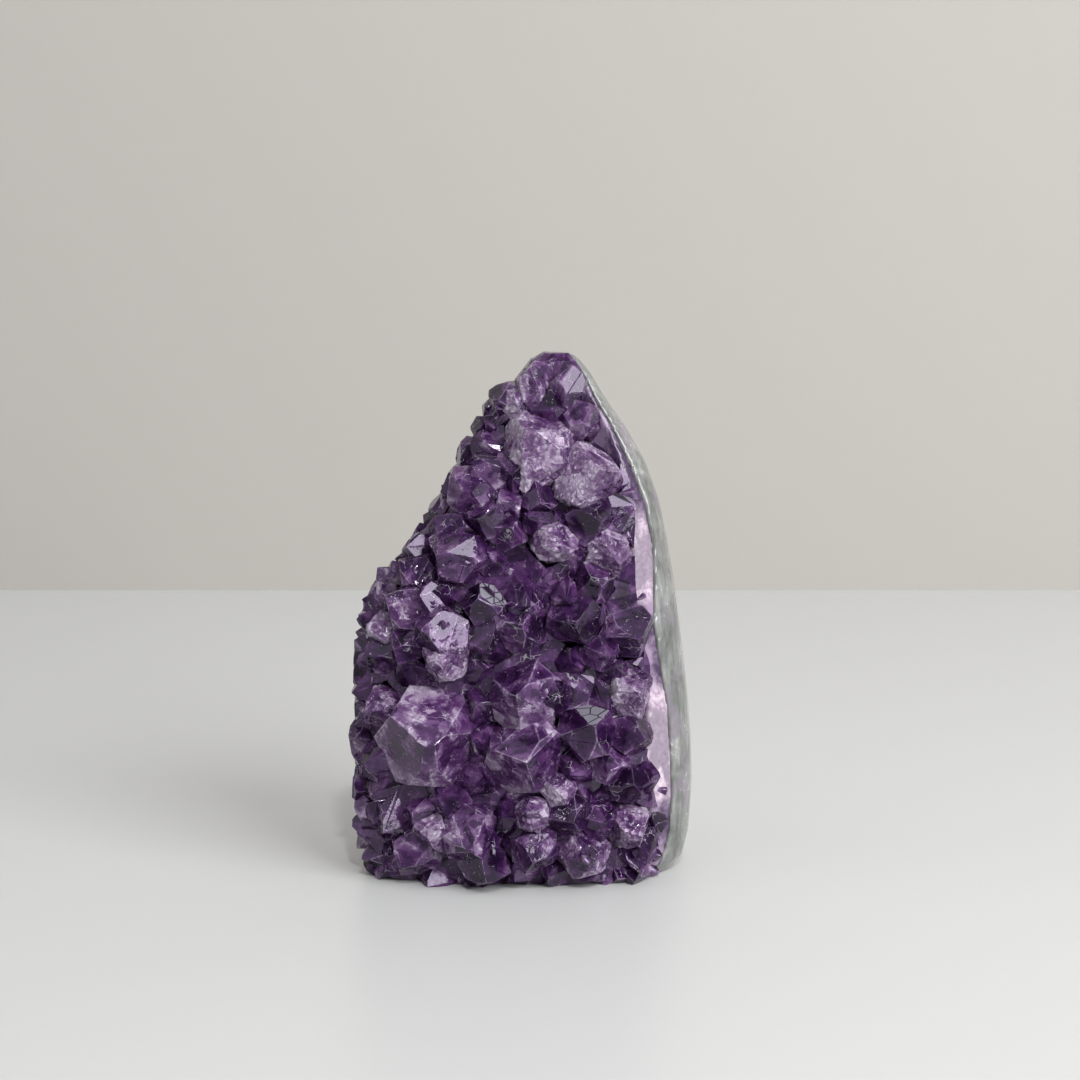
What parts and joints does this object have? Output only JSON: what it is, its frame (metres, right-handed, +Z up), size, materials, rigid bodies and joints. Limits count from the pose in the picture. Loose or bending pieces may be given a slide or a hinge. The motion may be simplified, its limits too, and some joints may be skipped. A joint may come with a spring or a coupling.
{
  "type": "amethyst geode",
  "caption": "Free-standing cut-base section of an amethyst geode: a slope of purple quartz crystals on a pale quartz band in a polished grey-green rind.",
  "frame": {"origin": "centre of the flat base of the stone's bounding box", "axes": "+Z up through the peak, -Y the way the crystals face, +X to the right of someone facing the crystals"},
  "size_m": [0.0608, 0.0426, 0.0938],
  "materials": {
    "amethyst_deep": "gloss",
    "amethyst_mid": "gloss",
    "amethyst_pale": "gloss",
    "druse": "gloss",
    "quartz_band": "gloss",
    "rind": "polished"
  },
  "bodies": {
    "root": {"rock_rind": "rind", "quartz_band": "quartz_band", "druse_bed": "druse", "crest_crystal_1": "amethyst_pale", "crest_crystal_2": "amethyst_mid", "crest_crystal_3": "amethyst_deep", "crest_crystal_4": "amethyst_mid", "crest_crystal_5": "amethyst_pale", "crest_crystal_6": "amethyst_pale", "crest_crystal_7": "amethyst_pale", "crest_crystal_8": "amethyst_deep", "shoulder_crystal_1": "amethyst_mid", "shoulder_crystal_2": "amethyst_mid", "shoulder_crystal_3": "amethyst_deep", "shoulder_crystal_4": "amethyst_mid", "shoulder_crystal_5": "amethyst_mid", "shoulder_crystal_6": "amethyst_deep", "shoulder_crystal_7": "amethyst_mid", "shoulder_crystal_8": "amethyst_pale", "shoulder_crystal_9": "amethyst_pale", "shoulder_crystal_10": "amethyst_mid", "middle_crystal_1": "amethyst_mid", "middle_crystal_2": "amethyst_mid", "middle_crystal_3": "amethyst_mid", "middle_crystal_4": "amethyst_mid", "middle_crystal_5": "amethyst_deep", "middle_crystal_6": "amethyst_mid", "middle_crystal_7": "amethyst_mid", "middle_crystal_8": "amethyst_mid", "middle_crystal_9": "amethyst_deep", "middle_crystal_10": "amethyst_mid", "middle_crystal_11": "amethyst_deep", "middle_crystal_12": "amethyst_pale", "middle_crystal_13": "amethyst_mid", "middle_crystal_14": "amethyst_deep", "middle_crystal_15": "amethyst_deep", "middle_crystal_16": "amethyst_pale", "belly_crystal_1": "amethyst_mid", "belly_crystal_2": "amethyst_pale", "belly_crystal_3": "amethyst_deep", "belly_crystal_4": "amethyst_deep", "belly_crystal_5": "amethyst_pale", "belly_crystal_6": "amethyst_mid", "belly_crystal_7": "amethyst_deep", "belly_crystal_8": "amethyst_mid", "belly_crystal_9": "amethyst_mid", "belly_crystal_10": "amethyst_mid", "belly_crystal_11": "amethyst_deep", "foot_crystal_1": "amethyst_pale", "foot_crystal_2": "amethyst_pale", "foot_crystal_3": "amethyst_deep", "foot_crystal_4": "amethyst_mid", "foot_crystal_5": "amethyst_mid", "foot_crystal_6": "amethyst_mid", "foot_crystal_7": "amethyst_pale", "foot_crystal_8": "amethyst_pale", "foot_crystal_9": "amethyst_pale", "foot_crystal_10": "amethyst_mid", "foot_crystal_11": "amethyst_mid", "foot_crystal_12": "amethyst_mid"}
  },
  "joints": []
}
